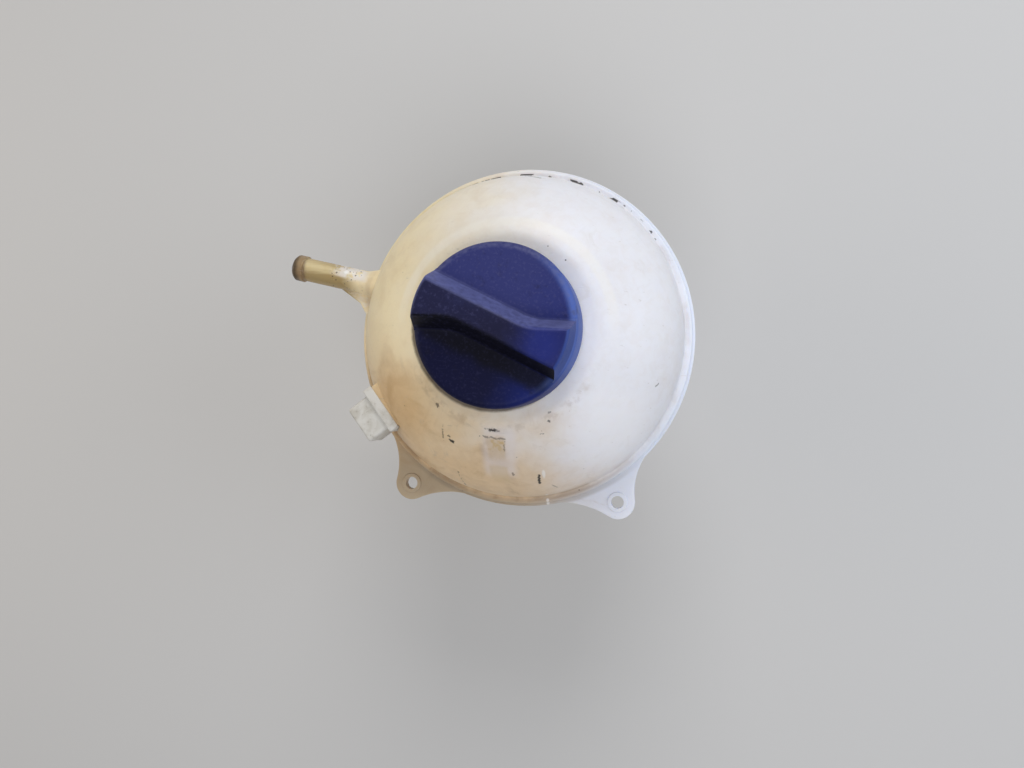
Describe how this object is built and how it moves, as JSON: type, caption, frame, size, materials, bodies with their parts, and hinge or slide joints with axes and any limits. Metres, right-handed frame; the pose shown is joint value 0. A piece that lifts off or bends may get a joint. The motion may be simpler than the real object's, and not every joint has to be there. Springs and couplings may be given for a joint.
{
  "type": "coolant expansion tank",
  "caption": "Ball-shaped coolant expansion tank of two welded plastic shells, with a screw cap holding pressure and vacuum valves, hose spigots, level sensor socket and lugs.",
  "frame": {"origin": "midway between the two lug holes, on the lugs' back face", "axes": "+Z along the filler neck towards the cap, +X along the line of the lug holes, +Y from the lugs towards the ball's centre"},
  "size_m": [0.2187, 0.182, 0.203],
  "materials": {
    "lower_shell": "aged translucent polypropylene",
    "upper_shell": "aged translucent polypropylene, stained",
    "cap": "matte blue plastic, dusty",
    "valve_plastic": "black moulded plastic",
    "seal_rubber": "matte",
    "plate_steel": "pressed stainless sheet",
    "spring_steel": "bright wire",
    "brass_valve": "turned",
    "socket_plastic": "opaque greyish white plastic",
    "contact_steel": "plain stainless rod"
  },
  "bodies": {
    "tank": {"lower_shell": "lower_shell", "hose_outlet": "lower_shell", "upper_shell": "upper_shell", "sensor_socket": "socket_plastic", "socket_seal": "seal_rubber", "contact_pin_left": "contact_steel", "contact_pin_right": "contact_steel"},
    "plug": {"valve_body": "valve_plastic", "plug_o_ring": "seal_rubber", "spring_cover": "valve_plastic", "relief_spring": "spring_steel"},
    "cap": {"cap_shell": "cap"},
    "pressure_valve": {"relief_plate": "plate_steel", "relief_seal": "seal_rubber", "vacuum_spring": "spring_steel"},
    "vacuum_valve": {"vacuum_valve": "brass_valve", "vacuum_seal": "seal_rubber", "vacuum_retainer": "plate_steel"}
  },
  "joints": [
    {"name": "cap_lift", "type": "slide", "parent": "tank", "child": "plug", "axis": [0, 0, 1], "range_m": [0, 0.0126]},
    {"name": "cap_turn", "type": "hinge", "parent": "plug", "child": "cap", "pos_m": [0, 0.083, 0.075], "axis": [0, 0, 1], "range_deg": [0, 900]},
    {"name": "relief_lift", "type": "slide", "parent": "plug", "child": "pressure_valve", "axis": [0, 0, 1], "range_m": [0, 0.0025], "stiffness_N_per_m": 8000, "springref_m": -0.005, "deforming": ["relief_spring"]},
    {"name": "vacuum_drop", "type": "slide", "parent": "pressure_valve", "child": "vacuum_valve", "axis": [0, 0, -1], "range_m": [0, 0.0015], "stiffness_N_per_m": 300, "springref_m": -0.002, "deforming": ["vacuum_spring"]}
  ],
  "couplings": [
    {"joint": "cap_lift", "follows": "cap_turn", "m_per_rad": 0.00079577}
  ]
}
